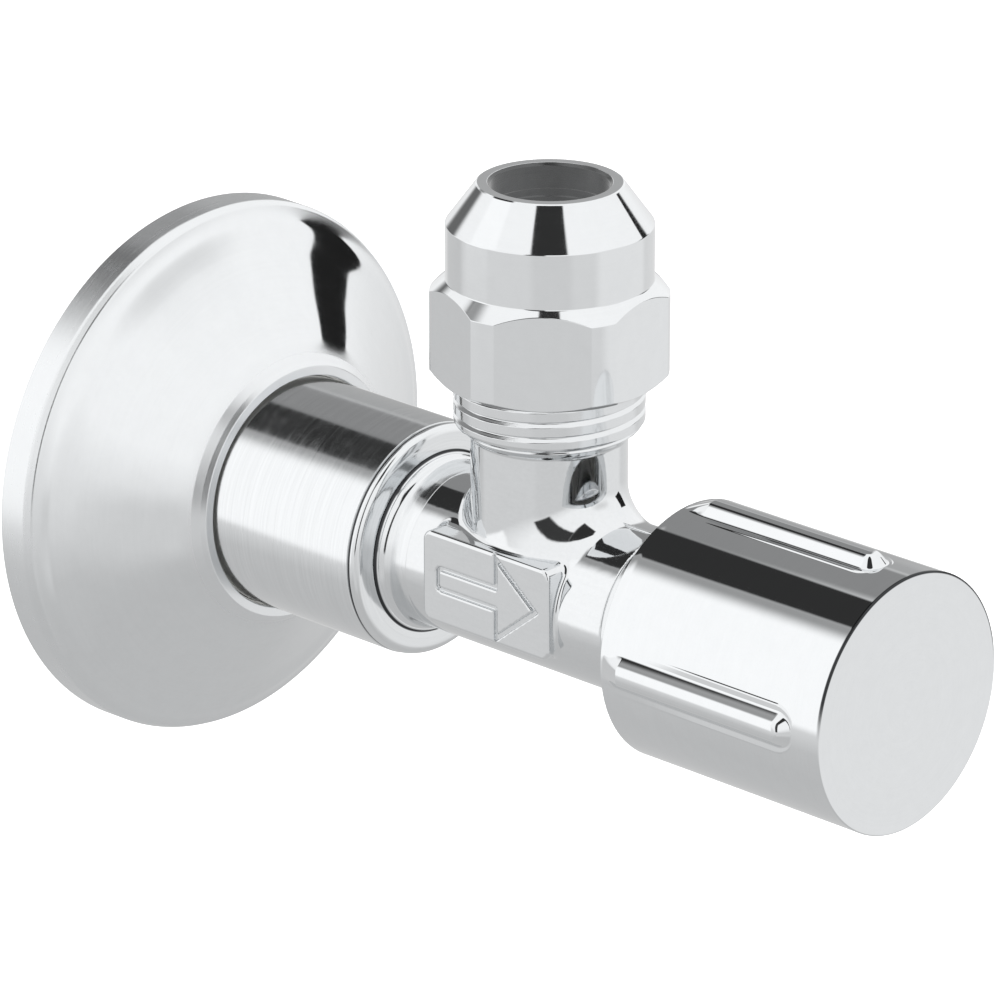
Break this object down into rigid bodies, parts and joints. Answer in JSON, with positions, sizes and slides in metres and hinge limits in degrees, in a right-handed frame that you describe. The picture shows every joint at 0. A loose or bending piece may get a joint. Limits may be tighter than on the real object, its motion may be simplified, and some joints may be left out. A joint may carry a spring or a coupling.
{
  "type": "angle stop valve",
  "caption": "Chrome angle stop valve: wall inlet barrel with sliding round escutcheon, upright compression nut outlet and a round ribbed handle.",
  "frame": {"origin": "point where the inlet axis meets the wall plane, at the back rim of the escutcheon", "axes": "+Y along the inlet thread into the wall, -Y towards the handle and the room, +Z along the outlet, up"},
  "size_m": [0.05, 0.0962, 0.0614],
  "materials": {
    "chrome_body": "bright chrome plate on forged and turned brass, satin turning marks on the barrel",
    "chrome_cover": "polished chrome plate with faint spun marks",
    "chrome_nut": "bright chrome plate, turned and milled",
    "chrome_handle": "mirror chrome plate with a satin end face",
    "brass": "machined brass",
    "rubber": "matt black",
    "seal_plastic": "matt off-white",
    "fibre": "matt red-brown fibre",
    "spring_steel": "plain spring steel"
  },
  "bodies": {
    "body": {"valve_body": "chrome_body", "inlet_sealing_ring": "seal_plastic", "bonnet": "chrome_body", "bonnet_gasket": "fibre", "bonnet_o_ring": "rubber"},
    "handle": {"handle": "chrome_handle", "handle_insert": "seal_plastic", "insert_spring_ring": "spring_steel", "spindle": "brass", "spindle_o_rings": "rubber", "thrust_washer": "seal_plastic", "retaining_clip": "spring_steel"},
    "piston": {"valve_piston": "brass", "piston_o_ring": "rubber", "seat_washer": "rubber", "washer_screw": "brass"},
    "grip_ring": {"escutcheon_grip_ring": "seal_plastic"},
    "escutcheon": {"escutcheon": "chrome_cover"},
    "ferrule": {"compression_ferrule": "brass"},
    "nut": {"compression_nut": "chrome_nut"}
  },
  "joints": [
    {"name": "handle_turn", "type": "hinge", "parent": "body", "child": "handle", "pos_m": [0, -0.07, 0], "axis": [0, -1, 0], "range_deg": [0, 900]},
    {"name": "piston_slide", "type": "slide", "parent": "body", "child": "piston", "axis": [0, -1, 0], "range_m": [0, 0.00313]},
    {"name": "escutcheon_slide", "type": "slide", "parent": "body", "child": "grip_ring", "axis": [0, -1, 0], "range_m": [0, 0.015]},
    {"name": "escutcheon_spin", "type": "hinge", "parent": "grip_ring", "child": "escutcheon", "pos_m": [0, 0, 0], "axis": [0, -1, 0], "continuous": true},
    {"name": "ferrule_lift", "type": "slide", "parent": "body", "child": "ferrule", "axis": [0, 0, 1], "range_m": [0, 0.00602]},
    {"name": "nut_turn", "type": "hinge", "parent": "ferrule", "child": "nut", "pos_m": [0, -0.0435, 0.03], "axis": [0, 0, 1], "range_deg": [0, 1620]}
  ],
  "couplings": [
    {"joint": "piston_slide", "follows": "handle_turn", "m_per_rad": 0.00019894},
    {"joint": "ferrule_lift", "follows": "nut_turn", "m_per_rad": 0.00021279}
  ]
}
